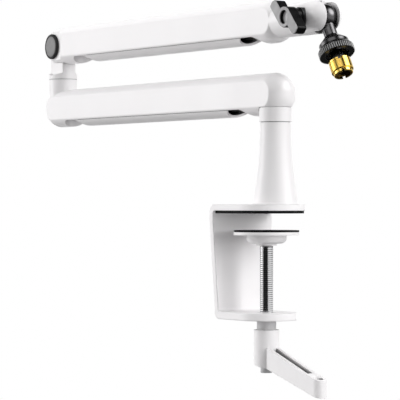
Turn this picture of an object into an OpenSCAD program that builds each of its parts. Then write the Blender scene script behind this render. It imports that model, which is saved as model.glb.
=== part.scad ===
// Low-profile boom arm for a microphone, on a desk clamp.
// Origin: on the post's axis, on the desk face, where the clamp's top pad rests. +Z is up.
// The two arm tubes lie level along X, with the elbow at -X and their flat sides at -Y and +Y.

/* [Arm section] */
// Distance between the two joint axes of an arm
arm_len = 323; // [240:1:400]
// Radius of the arm's curved top and bottom
arm_r = 14.6; // [14:0.1:16]
// Height by which the lower curve sits below the upper one
arm_drop = 2; // [1:0.1:4]
// Half the distance between the flat sides
arm_half_w = 11.9; // [11.5:0.1:12.5]
// Round between a flat side and the curve
arm_edge_r = 1.8; // [0.4:0.1:2.4]
// Wall of the arm tube
arm_wall = 2.2; // [1.6:0.1:2.8]
// Thickness of the web between the tube's closed top and its cable channel
web_t = 1.6; // [1.2:0.1:2.4]
// Height of the cable channel's ceiling below the arm's axis
channel_top = 4.4; // [3.8:0.1:5.4]
// Height of the tube's lower edge below the arm's axis
cover_line = 11.4; // [11:0.1:12]
// Height of the lower arm's axis over the desk
lower_axis_z = 88.1; // [84:0.1:100]
// Height from the lower arm's axis to the upper arm's axis
arm_rise = 52.8; // [50:0.1:60]

/* [Cable covers and exits] */
// Wall of a cable cover
cover_wall = 1.8; // [1.2:0.1:2.4]
// Gap between a cover and the tube
cover_gap = 0.3; // [0.2:0.05:0.5]
// Length of the side opening between a casting and a cover
exit_gap = 14; // [8:0.5:20]
// Radius of the scoop that opens each side of a cable exit
exit_r = 11.2; // [10.5:0.1:11.4]
// How far the scoop's centre lies beyond the edge that it cuts
exit_inset = 2.2; // [1:0.1:4]
// Reach of the lower arm's elbow casting from its axis
lower_elbow_reach = 25; // [22:0.5:36]
// Reach of the lower arm's base casting from its axis
lower_base_reach = 32; // [28:0.5:42]
// Reach of the upper arm's elbow casting from its axis
upper_elbow_reach = 39.5; // [34:0.5:50]
// Reach of the upper arm's head casting from its axis
upper_head_reach = 15; // [14:0.5:24]
// Length of a casting's tenon in the tube
tenon_len = 18; // [12:0.5:24]
// Gap round a tenon
tenon_gap = 0.1; // [0.05:0.05:0.2]

/* [Clamp] */
// Width of the clamp's top plate
plate_w = 52.5; // [46:0.5:60]
// Thickness of the top plate and of the spine
plate_t = 4.5; // [3.5:0.1:6]
// Width of the clamp's bottom plate
jaw_w = 43.8; // [38:0.1:50]
// Thickness of the bottom plate
jaw_t = 5.5; // [4:0.1:7]
// Centre of the top plate's round nose along X
nose_x = -8.4; // [-12:0.1:-6]
// Inner face of the spine along X
spine_x = -44; // [-52:0.5:-40]
// Top face of the bottom plate below the desk face
jaw_drop = 72.8; // [64:0.1:90]
// Outer radius of the clamp's bends
bend_r = 6; // [5:0.1:8]
// Thickness of the top rubber pad
pad_t = 2; // [1:0.1:3]
// Inset of the top rubber pad from the plate's edge
pad_inset = 0.6; // [0.3:0.1:1.5]

/* [Post and swivel] */
// Radius of the post at its foot
post_foot_r = 16.8; // [15.5:0.1:20]
// Radius of the post at its top
post_top_r = 11.2; // [10.8:0.1:11.8]
// Radius of the collar over the post
collar_r = 11.9; // [11.5:0.1:12]
// Fillet round the post's foot
post_fillet = 1.2; // [0.5:0.1:2]
// Top of the post over the desk
post_top_z = 66.4; // [60:0.1:70]
// Radius of the swivel spindles
spindle_r = 5; // [4:0.1:5.5]
// Outer radius of the plain bushes
bush_r = 7; // [6.5:0.1:7.4]
// Radial running clearance of a shaft
run_gap = 0.05; // [0.02:0.01:0.08]
// Thickness of the swivel washers
washer_t = 0.5; // [0.3:0.1:1]
// Number of screws under the post
post_screws = 3; // [2:1:4]
// Distance of the post's screws from the axis
post_screw_pitch = 11.5; // [11:0.1:12]
// Radius of the post's screws
post_screw_r = 2.5; // [2:0.1:2.6]

/* [Clamp screw and handle] */
// Place of the clamp screw along X
screw_x = -11.7; // [-14:0.1:-9]
// Radius of the clamp screw
screw_r = 5; // [4:0.1:5.5]
// Open gap between the two rubber pads
jaw_gap = 12.4; // [8:0.1:20]
// Radius of the pressure plate
press_r = 24.2; // [22:0.1:26]
// Thickness of the pressure plate's rubber
press_pad_t = 1.3; // [1:0.1:2.5]
// Thickness of the pressure plate's rim
press_rim_t = 2.3; // [1.6:0.1:2.6]
// Depth of the bowl under the pressure plate
press_bowl_h = 6.2; // [5.4:0.1:8]
// Radius of the bowl under the pressure plate
press_bowl_r = 15.1; // [13:0.1:18]
// Radius of the bush that the screw runs in
boss_r = 7.1; // [6.6:0.1:7.4]
// Length of that bush below the bottom plate
boss_len = 7.1; // [5:0.1:9]
// Radius of the handle's hub
hub_r = 9.4; // [9:0.1:11]
// Length of the lever from the screw's axis to its tip
lever_len = 72.6; // [60:0.1:90]
// Depth of the lever's underside below the hub's top, at the screw's axis
lever_depth = 26; // [24:0.5:30]
// Length of the screw below the hub's top
screw_below = 31.6; // [29:0.1:34]
// Width of the lever
lever_w = 10.6; // [10:0.1:14]
// Wall of the lever
lever_wall = 2.8; // [2:0.1:3]
// Length of the lever's solid grip
lever_pad = 15.2; // [14.5:0.1:20]
// Height of the lever's grip
lever_grip = 12.6; // [11:0.1:15]
// Fall of the lever's underside, in degrees
lever_fall = 15; // [10:1:20]

/* [Elbow] */
// Radius of the elbow's round stub
stub_r = 11.7; // [11.2:0.1:11.9]
// Height of the stub's top over the lower arm's axis
stub_h = 23.6; // [22:0.1:26]
// Radius of the elbow's neck
neck_r = 11.9; // [11.4:0.1:12]
// Thickness of the neck's tongue
tongue_t = 12.2; // [10:0.1:13]
// Radius of the hollow shoulders beside the tongue
shoulder_r = 24.3; // [23:0.1:25]
// Thickness of the friction washers on the tongue
friction_t = 0.5; // [0.3:0.1:0.8]
// Gap between a friction washer and the fork's cheek
cheek_gap = 0.1; // [0.05:0.05:0.2]
// Gap between the tongue's edge and the fork
tongue_gap = 0.6; // [0.4:0.1:1]
// Largest tilt of the upper arm, in degrees
tilt_max = 70; // [40:5:75]
// Height by which the tilt axis sits below the upper arm's axis
pivot_drop = 1.4; // [1:0.1:2]
// Radius of the tilt bolt
tilt_r = 4; // [3:0.1:4.5]
// Radius of the disc cap on the elbow
cap_r = 10.5; // [9:0.1:10.8]
// Thickness of the disc cap
cap_t = 1.5; // [1.2:0.1:2.1]
// Depth of the flat that the cap sits on, inward from the arm's flat side
cap_flat_depth = 2.1; // [1.8:0.1:2.4]
// Radius of that flat's round end
cap_flat_r = 14.5; // [13:0.1:16]
// Distance from the tilt axis to that round end's centre
cap_flat_x = 4.5; // [2:0.1:8]
// How far the fork's slot is open on top, beyond the tilt axis
slot_top_x = 3.7; // [0:0.1:6]
// Width of the cap's dark rim
cap_rim = 1.2; // [0.8:0.1:2]

/* [Microphone head] */
// Radius of the head's split barrel
barrel_r = 11.9; // [11.4:0.1:12.4]
// Distance of the ball from the head's arm axis
ball_x = 62.6; // [56:0.1:70]
// Radius of the ball
ball_r = 8.8; // [8:0.1:9]
// Gap between the ball and its cups
ball_gap = 0.25; // [0.15:0.05:0.4]
// Width of the slot that the stem swings in
slot_w = 11.2; // [10.3:0.1:11.6]
// Width of the clamping kerf behind the slot
kerf_w = 1.6; // [1:0.1:2.4]
// Distance of the clamp stud behind the ball
stud_back = 14; // [13:0.1:16]
// Depth by which the stud sits below the barrel's axis
stud_drop = 0.4; // [0:0.1:1.5]
// Radius of the clamp stud
stud_r = 2.5; // [2:0.1:3]
// Angle of the stem forward of straight down, in degrees
stem_angle = 28.8; // [0:0.2:60]
// Radius of the stem
stem_r = 4.85; // [4.8:0.05:5]
// Radius of the stem's threaded end
thread_r = 4.76; // [4.5:0.01:4.76]
// Distance from the ball to the stem's shoulder
stem_len = 16.8; // [16:0.1:20]
// Height of the lock wheel
wheel_h = 15.1; // [14:0.1:18]
// Radius of the lock wheel's flange
wheel_r = 12.9; // [12:0.05:14]
// Radius of the smooth collar over the lock wheel's ribbed flange
wheel_collar_r = 10.8; // [9.5:0.05:11.5]
// Height of the lock wheel's ribbed flange
rib_h = 4.3; // [3:0.1:6]
// Running clearance of the lock wheel on the stem's thread
wheel_gap = 0.1; // [0.08:0.01:0.15]
// Distance from the ball to the adapter's near end
adapter_at = 36.8; // [34:0.1:42]
// Length of the thread adapter
adapter_len = 11.2; // [10:0.1:16]
// Radius of the adapter's outer thread
adapter_r = 7.94; // [7.5:0.01:8]
// Length of the adapter's open inner thread
adapter_open = 4; // [3:0.1:5]
// Tapping radius of that open thread
adapter_open_r = 3.97; // [3.9:0.01:4.08]
// Depth of the slots in the adapter's ends, and of the sink at its tip
adapter_slot_h = 2; // [1:0.1:2.4]
// Radius of the sink at the adapter's tip
adapter_sink_r = 5.2; // [5:0.1:5.6]
// Length of the adapter's plain nose
adapter_nose = 2.5; // [1:0.1:3.5]
// Radius of the adapter's plain nose
adapter_nose_r = 6.9; // [6.5:0.1:7.3]
// Width of the slots in the adapter's ends
adapter_slot = 1.8; // [1:0.1:2.4]

/* [Wing knob] */
// Radius of the knob's hub
knob_hub_r = 7.5; // [7.2:0.1:8]
// Fall of the wings, in degrees
wing_fall = 48.6; // [0:0.1:90]
// Reach of a wing's round end from the axis, along the wing
wing_reach = 14.4; // [11:0.1:18]
// Radius of a wing's round end
wing_tip_r = 4.1; // [3:0.1:4.6]
// Radius of the tighter corner beside it
wing_corner_r = 1.8; // [1:0.1:2.4]
// How far that corner reaches beyond the round end's centre
wing_corner_out = 2.1; // [1:0.1:2.2]
// Depth of the wings
wing_depth = 7.3; // [6:0.1:10]
// Radius of the neck behind the wings
knob_boss_r = 6.6; // [6.2:0.1:7]
// Length of the neck behind the wings
boss_depth = 4.4; // [3:0.1:6]
// Radius of the thrust washer under the knob
knob_washer_r = 7.4; // [6.8:0.1:7.6]
// Thickness of the thrust washer
knob_washer_t = 3.8; // [3:0.1:4.5]
// Thickness of the knob's bright face plate
face_t = 0.8; // [0.5:0.1:1.5]
// Radius of the recess in the knob
recess_r = 5; // [4.6:0.1:5.6]
// Depth of the recess in the knob
recess_depth = 2; // [1:0.1:3]

/* [Hidden] */

$fn = 64;
WHITE = [0.93, 0.93, 0.93];
STEEL = [0.62, 0.63, 0.65];
BLACK = [0.08, 0.08, 0.09];
RUBBER = [0.05, 0.05, 0.05];
GREY = [0.5, 0.5, 0.51];
BRASS = [0.85, 0.66, 0.25];
BIG = 200;
eps = 0.01;

// Heights
plate_z = pad_t + plate_t;
upper_axis_z = lower_axis_z + arm_rise;
mid_z = upper_axis_z - pivot_drop;
neck_z = lower_axis_z + stub_h;
post_washer_z = post_top_z + washer_t;
collar_top_z = lower_axis_z - arm_drop - sqrt(pow(arm_r, 2) - pow(collar_r, 2)) - 0.1;
post_h = post_top_z - plate_z;
post_flare = post_foot_r - post_top_r;
post_flare_r = (pow(post_h, 2) + pow(post_flare, 2)) / (2 * post_flare);

// Arm section
inner_half_w = arm_half_w - arm_wall;
web_z = channel_top - web_t;
cover_top = cover_line + cover_gap;
arm_bottom = arm_drop + arm_r;
cover_leg = 3;

// Clamp
jaw_top_z = -jaw_drop;
jaw_bottom_z = jaw_top_z - jaw_t;
nose_r = plate_w / 2;
jaw_r = jaw_w / 2;
spine_out_x = spine_x - plate_t;
bend_in_r = bend_r - plate_t + 1;
csk_r = post_screw_r * 2;
csk_h = post_screw_r;
head_gap = 0.05;
post_screw_len = 14;
post_bore_z = plate_z + 13;
lower_bush_z = post_bore_z + 7;
lower_bush_h = 8;
upper_bush_h = 12;
clip_t = 1.2;
clip_depth = 0.7;
clip_gap = 0.3;
clip_z = lower_bush_z - clip_gap - clip_t;

// Clamp screw
press_top_z = -jaw_gap;
press_rim_z = press_top_z - press_pad_t;
bowl_z = press_rim_z - press_rim_t;
bowl_low_z = bowl_z - press_bowl_h;
press_neck_h = 1.4;
press_neck_r = 7.6;
press_low_z = bowl_low_z - press_neck_h;
nose_pin_r = 3.5;
nose_floor_z = bowl_low_z + 3.2;
nose_cell_r = 6.4;
nose_ring_t = 1.6;
nose_ring_r = 5.6;
nose_gap = 0.3;
boss_low_z = jaw_bottom_z - boss_len;
hub_top_z = boss_low_z;
cup_depth = boss_len + 1.2;
cup_gap = 0.4;
screw_end_z = hub_top_z - screw_below;
screw_end_r = screw_r - 0.6;
screw_point = 5;
hub_below = 10;
// Height of the lever's underside at the screw's axis
lever_low_z = hub_top_z - lever_depth;
lever_start_h = 12.8;
lever_floor = 3;
grip_r = lever_w / 2;
grip_hole_r = 3;
grip_hole_depth = 6;

// Elbow
fork_half_slot = tongue_t / 2 + friction_t + cheek_gap;
cap_seat = arm_half_w - cap_flat_depth;
cap_edge = 0.7;
bolt_head_r = 6.4;
bolt_head_t = 2;
nut_chamber_r = 8.2;
nut_floor = 9.4;
nut_t = 4;
nut_r = 7.4;
nut_gap = 0.4;

// Head
slot_back = stem_r + 0.35;
stud_x = ball_x - stud_back;
stud_z = mid_z - stud_drop;
kerf_back = 9;
barrel_start = sqrt(pow(arm_r, 2) - pow(barrel_r, 2)) - 0.2;
// Spot face of the barrel under the washer
pad_face = 9.6;
boss_back = pad_face + knob_washer_t;
wing_back = boss_back + boss_depth;
wing_front = wing_back + wing_depth;
face_front = wing_front + face_t;
knob_screw_r = 4.5;
knob_screw_t = 3;
adapter_step = adapter_at + adapter_len - adapter_slot_h - adapter_open;
stem_tip_gap = 0.3;
stem_end = adapter_step - stem_tip_gap;
wheel_end = stem_len + wheel_h;
wheel_face_r = 5.1;
wheel_hollow_r = 8.6;
wheel_hollow_h = 3;
ball_centre_r = 1.2;
ball_centre_depth = 1.5;

// A circle cut by two flats at x = -w and x = w, with rounded edges
module flat_circle(r, w, f) {
    cx = w - f;
    cy = sqrt(pow(r - f, 2) - pow(cx, 2));
    tx = cx * r / (r - f);
    intersection() {
        circle(r = r);
        translate([-tx, -r]) square([2 * tx, 2 * r]);
    }
    translate([-w, -cy]) square([2 * w, 2 * cy]);
    for (sx = [-1, 1], sy = [-1, 1]) translate([sx * cx, sy * cy]) circle(r = f, $fn = 32);
}

// The arm's section: x is the row's Y, y is the row's Z, the arm's axis at the origin
module arm_section(inset) {
    r = arm_r - inset;
    w = arm_half_w - inset;
    f = max(arm_edge_r - inset, 0.3);
    flat_circle(r, w, f);
    translate([0, -arm_drop]) flat_circle(r, w, f);
    translate([-w, -arm_drop]) square([2 * w, arm_drop]);
}

// Stands a section up and runs it along X from x0 to x1
module along_x(x0, x1) {
    translate([x0, 0, 0]) rotate([90, 0, 90]) linear_extrude(x1 - x0) children();
}

// Lays a plan of X and Z down along Y, from y0 to y1
module along_y(y0, y1) {
    translate([0, y1, 0]) rotate([90, 0, 0]) linear_extrude(y1 - y0) children();
}

// A cylinder along Y
module rod_y(r, y0, y1) {
    translate([0, y1, 0]) rotate([90, 0, 0]) cylinder(r = r, h = y1 - y0);
}

// A cylinder along X
module rod_x(r, x0, x1) {
    translate([x0, 0, 0]) rotate([0, 90, 0]) cylinder(r = r, h = x1 - x0);
}

// A ring about Z
module ring_z(r_out, r_in, z0, h) {
    difference() {
        translate([0, 0, z0]) cylinder(r = r_out, h = h);
        translate([0, 0, z0 - 1]) cylinder(r = r_in, h = h + 2);
    }
}

// The domed end of an arm: a ball with flat sides, stretched down by the section's drop
module arm_dome() {
    module flat_ball() {
        rotate([90, 0, 0]) rotate_extrude() intersection() {
            rotate(90) flat_circle(arm_r, arm_half_w, arm_edge_r);
            translate([0, -BIG / 2]) square([BIG / 2, BIG]);
        }
    }
    flat_ball();
    translate([0, 0, -arm_drop]) flat_ball();
    translate([0, 0, -arm_drop]) linear_extrude(arm_drop) rotate(90) flat_circle(arm_r, arm_half_w, arm_edge_r);
}

// The outside of an end casting whose tube runs to +X: dome, stub of the section and tenon
module casting_body(reach) {
    arm_dome();
    along_x(0, reach) arm_section(0);
    along_x(reach - 1, reach + tenon_len) intersection() {
        arm_section(arm_wall + tenon_gap);
        translate([-arm_r, -web_z + tenon_gap]) square([2 * arm_r, 2 * arm_r]);
    }
}

// The cable room cut into an end casting, with its scooped mouth below
module cable_room(reach, back) {
    mouth = reach + exit_inset;
    out = reach + tenon_len + 2;
    translate([mouth, 0, -BIG]) cylinder(r = exit_r, h = BIG - cover_line);
    translate([mouth, -exit_r, -BIG]) cube([out - mouth, 2 * exit_r, BIG - cover_line]);
    translate([mouth - exit_r + inner_half_w, 0, -BIG]) cylinder(r = inner_half_w, h = BIG - channel_top);
    translate([mouth - exit_r + inner_half_w, -inner_half_w, -BIG])
        cube([out - mouth + exit_r - inner_half_w, 2 * inner_half_w, BIG - channel_top]);
    if (back > 0) {
        translate([-back, -back, -nut_floor]) cube([mouth + back, 2 * back, nut_floor - channel_top]);
    }
}

// Screw holes through a tube's web into the tenons, one at each end
function tenon_screw_xs(x0, x1) = [x0 + tenon_len / 2, x1 - tenon_len / 2];

// The arm tube from x0 to x1, closed on top and open below for cables
module channel(x0, x1) {
    difference() {
        along_x(x0, x1) difference() {
            arm_section(0);
            intersection() {
                arm_section(arm_wall);
                translate([-arm_r, -web_z]) square([2 * arm_r, 2 * arm_r]);
            }
            translate([-inner_half_w, -channel_top - 2 * arm_r]) square([2 * inner_half_w, 2 * arm_r]);
            translate([-arm_r, -cover_line - 2 * arm_r]) square([2 * arm_r, 2 * arm_r]);
        }
        for (x = tenon_screw_xs(x0, x1)) translate([x, 0, -channel_top - 1]) cylinder(r = tenon_screw_r, h = web_t + 2);
        translate([0, 0, -eps]) keepers(x0 + exit_gap, x1 - exit_gap);
        keepers(x0 + exit_gap, x1 - exit_gap);
    }
}
tenon_screw_r = 2;
tenon_screw_len = 8;

// Screws from the cable channel up into the tenons
module tenon_screws(x0, x1) {
    for (x = tenon_screw_xs(x0, x1)) translate([x, 0, -channel_top]) {
        cylinder(r = tenon_screw_r, h = tenon_screw_len);
        translate([0, 0, -tenon_screw_r]) difference() {
            cylinder(r = 2 * tenon_screw_r, h = tenon_screw_r);
            translate([0, 0, -eps]) cylinder(r = tenon_screw_r, h = tenon_screw_r / 2, $fn = 6);
        }
    }
}

// Holes in a casting's tenon for that screw
module tenon_bore(reach) {
    translate([reach + tenon_len / 2, 0, -channel_top]) cylinder(r = tenon_screw_r, h = tenon_screw_len);
}

// Lift-off cable cover from x0 to x1, scooped at both ends
module cover(x0, x1) {
    leg_out = inner_half_w - cover_gap;
    difference() {
        along_x(x0, x1) {
            difference() {
                arm_section(0);
                arm_section(cover_wall);
                translate([-arm_r, -cover_top]) square([2 * arm_r, 3 * arm_r]);
            }
            for (s = [-1, 1]) intersection() {
                translate([s > 0 ? leg_out - cover_wall : -leg_out, -arm_bottom])
                    square([cover_wall, arm_bottom - cover_top + cover_leg]);
                arm_section(0.2);
            }
        }
        for (x = [x0 - exit_inset, x1 + exit_inset])
            translate([x, 0, -BIG]) cylinder(r = exit_r, h = 2 * BIG);
    }
    for (x = cover_magnet_xs(x0, x1)) cover_post(x);
}

// Places of a cover's magnets, which stand beside the cable
magnet_r = 1.9;
magnet_t = 2;
magnet_wall = 0.8;
magnet_inset = 30;
magnet_y = 5.2;
keeper_r = 2.6;
keeper_t = 1;
function cover_magnet_xs(x0, x1) = [x0 + magnet_inset, (x0 + x1) / 2, x1 - magnet_inset];

// A post on the cover that holds a magnet against a keeper in the tube's web
module cover_post(x) {
    floor_z = -arm_bottom + cover_wall + 1.2;
    top_z = -channel_top - cover_gap;
    translate([x, magnet_y, 0]) difference() {
        translate([0, 0, floor_z]) cylinder(r = magnet_r + magnet_wall, h = top_z - floor_z);
        translate([0, 0, top_z - magnet_t]) cylinder(r = magnet_r, h = magnet_t + 1);
    }
}

// The magnets in a cover's posts
module cover_magnets(x0, x1) {
    top_z = -channel_top - cover_gap;
    for (x = cover_magnet_xs(x0, x1)) translate([x, magnet_y, top_z - magnet_t]) cylinder(r = magnet_r, h = magnet_t);
}

// Steel keepers let into a tube's web over the magnets
module keepers(x0, x1) {
    for (x = cover_magnet_xs(x0, x1)) translate([x, magnet_y, -channel_top]) cylinder(r = keeper_r, h = keeper_t);
}

// Ends of the tubes and covers along X
lower_x0 = -arm_len + lower_elbow_reach;
lower_x1 = -lower_base_reach;
upper_x0 = -arm_len + upper_elbow_reach;
upper_x1 = -upper_head_reach;

module at_lower() {
    translate([0, 0, lower_axis_z]) children();
}

module at_upper() {
    translate([0, 0, upper_axis_z]) children();
}

module at_elbow() {
    translate([-arm_len, 0, 0]) children();
}

module at_screw() {
    translate([screw_x, 0, 0]) children();
}

// Turns the stem's axis, which runs to -Z here, to its place at the ball
module at_ball() {
    translate([ball_x, 0, mid_z]) rotate([0, -stem_angle, 0]) children();
}

// Plan of the top plate
module plate_plan(inset, x0) {
    translate([nose_x, 0]) circle(r = nose_r - inset);
    translate([x0, -nose_r + inset]) square([nose_x - x0, 2 * (nose_r - inset)]);
}

// Places the screws under the post
module each_post_screw() {
    for (i = [0 : post_screws - 1]) rotate(60 + i * 360 / post_screws) translate([post_screw_pitch, 0, 0]) children();
}

// The bent plate's outside, x is X and y is Z
module c_outline() {
    w = nose_x + nose_r - spine_out_x + 1;
    h = plate_z - jaw_bottom_z;
    translate([spine_out_x + bend_r, jaw_bottom_z]) square([w, h]);
    translate([spine_out_x, jaw_bottom_z + bend_r]) square([bend_r + 1, h - 2 * bend_r]);
    for (z = [jaw_bottom_z + bend_r, plate_z - bend_r]) translate([spine_out_x + bend_r, z]) circle(r = bend_r);
}

// The space between the plates
module c_opening() {
    h = pad_t - jaw_top_z;
    translate([spine_x + bend_in_r, jaw_top_z]) square([BIG, h]);
    translate([spine_x, jaw_top_z + bend_in_r]) square([bend_in_r + 1, h - 2 * bend_in_r]);
    for (z = [jaw_top_z + bend_in_r, pad_t - bend_in_r]) translate([spine_x + bend_in_r, z]) circle(r = bend_in_r);
}

module clamp_frame() color(WHITE) {
    difference() {
        intersection() {
            along_y(-plate_w / 2, plate_w / 2) difference() {
                c_outline();
                c_opening();
            }
            union() {
                translate([0, 0, -bend_r]) linear_extrude(plate_z + bend_r + 1) plate_plan(0, spine_out_x - 1);
                translate([spine_out_x - 1, 0, 0]) rotate([90, 0, 90]) linear_extrude(plate_t + bend_in_r + 1) polygon([
                    [-nose_r, -bend_r], [nose_r, -bend_r], [jaw_r, jaw_top_z + bend_r], [-jaw_r, jaw_top_z + bend_r]
                ]);
                translate([0, 0, jaw_bottom_z - 1]) linear_extrude(jaw_t + bend_r + 1) {
                    translate([screw_x, 0]) circle(r = jaw_r);
                    translate([spine_out_x - 1, -jaw_r]) square([screw_x - spine_out_x + 1, jaw_w]);
                }
            }
        }
        at_screw() translate([0, 0, jaw_bottom_z - 1]) cylinder(r = boss_r, h = jaw_t + 2);
        each_post_screw() {
            translate([0, 0, pad_t - 1]) cylinder(r = post_screw_r + head_gap, h = plate_t + 2);
            translate([0, 0, pad_t]) cylinder(r1 = csk_r + head_gap, r2 = post_screw_r, h = csk_h + head_gap);
            translate([0, 0, pad_t - 1]) cylinder(r = csk_r + head_gap, h = 1);
        }
    }
}

module top_pad() color(RUBBER) {
    linear_extrude(pad_t) plate_plan(pad_inset, spine_x + bend_r - plate_t + 1);
}

module riser_post() color(WHITE) {
    difference() {
        rotate_extrude() difference() {
            union() {
                difference() {
                    translate([0, plate_z]) square([post_foot_r, post_h]);
                    translate([post_top_r + post_flare_r, post_top_z]) circle(r = post_flare_r, $fn = 720);
                }
                translate([0, plate_z]) square([post_foot_r + post_fillet, post_fillet]);
            }
            translate([post_foot_r + post_fillet, plate_z + post_fillet]) circle(r = post_fillet, $fn = 32);
        }
        translate([0, 0, post_bore_z]) cylinder(r = bush_r, h = post_top_z);
        each_post_screw() cylinder(r = post_screw_r, h = pad_t + post_screw_len + 1);
    }
}

module post_screws() color(STEEL) each_post_screw() {
    difference() {
        union() {
            translate([0, 0, pad_t]) cylinder(r1 = csk_r, r2 = post_screw_r, h = csk_h);
            translate([0, 0, pad_t]) cylinder(r = post_screw_r, h = post_screw_len);
        }
        translate([0, 0, pad_t - eps]) cylinder(r = post_screw_r * 0.7, h = csk_h, $fn = 6);
    }
}

module upper_bush() color(BRASS) ring_z(bush_r, spindle_r + run_gap, post_top_z - upper_bush_h, upper_bush_h);

module lower_bush() color(BRASS) ring_z(bush_r, spindle_r + run_gap, lower_bush_z, lower_bush_h);

module screw_bush() color(STEEL) at_screw()
    ring_z(boss_r, screw_r + run_gap, boss_low_z, jaw_top_z - boss_low_z);

module pressure_plate() color(WHITE) at_screw() {
    rotate_extrude() difference() {
        union() {
            translate([0, bowl_z]) square([press_r, press_rim_t]);
            polygon([
                [0, bowl_low_z], [press_bowl_r - 4.1, bowl_low_z], [press_bowl_r - 1.5, bowl_z - press_bowl_h * 0.82],
                [press_bowl_r - 0.3, bowl_z - press_bowl_h * 0.5], [press_bowl_r, bowl_z + 0.5], [0, bowl_z + 0.5]
            ]);
            translate([0, press_low_z]) square([press_neck_r, press_neck_h + 1]);
        }
        translate([-BIG, press_low_z - 1]) square([BIG + nose_pin_r + run_gap, BIG]);
        translate([0, nose_floor_z]) square([nose_cell_r, BIG]);
    }
}

module pressure_pad() color(RUBBER) at_screw() translate([0, 0, press_rim_z]) cylinder(r = press_r - 0.2, h = press_pad_t);

module clamp_screw() color(STEEL) at_screw() {
    shoulder_z = press_low_z - nose_gap;
    translate([0, 0, screw_end_z]) cylinder(r = screw_end_r, h = screw_point + 1);
    translate([0, 0, screw_end_z + screw_point]) cylinder(r = screw_r, h = shoulder_z - screw_end_z - screw_point);
    translate([0, 0, shoulder_z - 1]) cylinder(r = nose_pin_r, h = press_rim_z - 1 - shoulder_z + 1);
}

module nose_ring() color(STEEL) at_screw() ring_z(nose_ring_r, nose_pin_r, nose_floor_z + nose_gap, nose_ring_t);

module crank_handle() color(WHITE) at_screw() {
    slope = tan(lever_fall);
    grip_x = lever_len - grip_r;
    knee_x = lever_len - lever_pad;
    knee_z = lever_low_z + lever_grip - slope * knee_x;
    hole_z = lever_low_z + lever_grip - slope * grip_x - grip_hole_depth;
    difference() {
        union() {
            translate([0, 0, lever_low_z - hub_below]) cylinder(r = hub_r, h = hub_top_z - lever_low_z + hub_below);
            intersection() {
                along_y(-grip_r, grip_r) polygon([
                    [0, lever_low_z - lever_len], [BIG, lever_low_z - lever_len], [BIG, knee_z - slope * (BIG - knee_x)],
                    [knee_x, knee_z], [hub_r, lever_low_z + lever_start_h], [0, lever_low_z + lever_start_h]
                ]);
                union() {
                    translate([0, -grip_r, -BIG]) cube([grip_x, lever_w, BIG]);
                    translate([grip_x, 0, -BIG]) cylinder(r = grip_r, h = BIG);
                }
            }
        }
        // Slanted underside of the hub and the lever
        along_y(-BIG / 2, BIG / 2) polygon([
            [-BIG, lever_low_z + slope * BIG], [BIG, lever_low_z - slope * BIG], [BIG, -2 * BIG], [-BIG, -2 * BIG]
        ]);
        // Open channel of the lever
        along_y(-grip_r + lever_wall, grip_r - lever_wall) polygon([
            [hub_r, lever_low_z - slope * hub_r + lever_floor], [knee_x - 1, lever_low_z - slope * knee_x + lever_floor],
            [knee_x - 1, 0], [hub_r, 0]
        ]);
        translate([grip_x, 0, hole_z]) cylinder(r = grip_hole_r, h = BIG);
        translate([0, 0, hub_top_z - cup_depth]) cylinder(r = boss_r + cup_gap, h = BIG);
        translate([0, 0, -BIG]) cylinder(r = screw_r, h = BIG + hub_top_z);
        translate([0, 0, grub_z]) rod_x(grub_r, -hub_r - 1, 0);
    }
}
grub_r = 2.5;
grub_drop = 16;
grub_z = hub_top_z - grub_drop;

module crank_grub() color(STEEL) at_screw() translate([0, 0, grub_z]) {
    difference() {
        rod_x(grub_r, -hub_r + 0.8, -screw_r);
        translate([-hub_r, 0, 0]) rotate([0, 90, 0]) cylinder(r = grub_r / 2, h = 2.5, $fn = 6);
    }
}

module base_collar() color(WHITE) {
    edge = 1.2;
    difference() {
        rotate_extrude() {
            translate([0, post_washer_z]) square([collar_r, collar_top_z - edge - post_washer_z]);
            translate([0, post_washer_z]) square([collar_r - edge, collar_top_z - post_washer_z]);
            translate([collar_r - edge, collar_top_z - edge]) circle(r = edge, $fn = 32);
        }
        cylinder(r = spindle_r, h = BIG);
    }
}

module base_joint() color(WHITE) at_lower() difference() {
    mirror([1, 0, 0]) difference() {
        casting_body(lower_base_reach);
        cable_room(lower_base_reach, 0);
        tenon_bore(lower_base_reach);
    }
    // Seat of the collar under the dome
    translate([0, 0, -BIG]) cylinder(r = collar_r + 0.25, h = BIG - (lower_axis_z - collar_top_z));
    translate([0, 0, -BIG]) cylinder(r = spindle_r, h = BIG + 4);
}

module base_spindle() color(STEEL) {
    top = lower_axis_z + 4;
    low = clip_z - 1.5;
    difference() {
        translate([0, 0, low]) cylinder(r = spindle_r, h = top - low);
        ring_z(spindle_r + 1, spindle_r - clip_depth, clip_z, clip_t);
    }
}

module spindle_clip() color(STEEL) ring_z(bush_r - 0.5, spindle_r - clip_depth, clip_z, clip_t);

module swivel_washer() color(GREY) ring_z(post_top_r - 0.4, spindle_r + 0.3, post_top_z, washer_t);

module lower_channel() color(WHITE) at_lower() channel(lower_x0, lower_x1);

module elbow_socket() color(WHITE) at_lower() at_elbow() {
    difference() {
        union() {
            casting_body(lower_elbow_reach);
            cylinder(r = stub_r, h = stub_h);
        }
        cable_room(lower_elbow_reach, nut_chamber_r);
        translate([0, 0, -nut_floor]) cylinder(r = nut_chamber_r, h = nut_floor - channel_top);
        translate([0, 0, -channel_top - 1]) cylinder(r = bush_r, h = BIG);
        tenon_bore(lower_elbow_reach);
    }
}

module elbow_bush() color(BRASS) at_lower() at_elbow()
    ring_z(bush_r, spindle_r + run_gap, -channel_top, stub_h + channel_top);

module lower_keepers() color(STEEL) at_lower() keepers(lower_x0 + exit_gap, lower_x1 - exit_gap);

module lower_screws() color(STEEL) at_lower() tenon_screws(lower_x0, lower_x1);

module lower_cover() color(WHITE) at_lower() cover(lower_x0 + exit_gap, lower_x1 - exit_gap);

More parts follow.
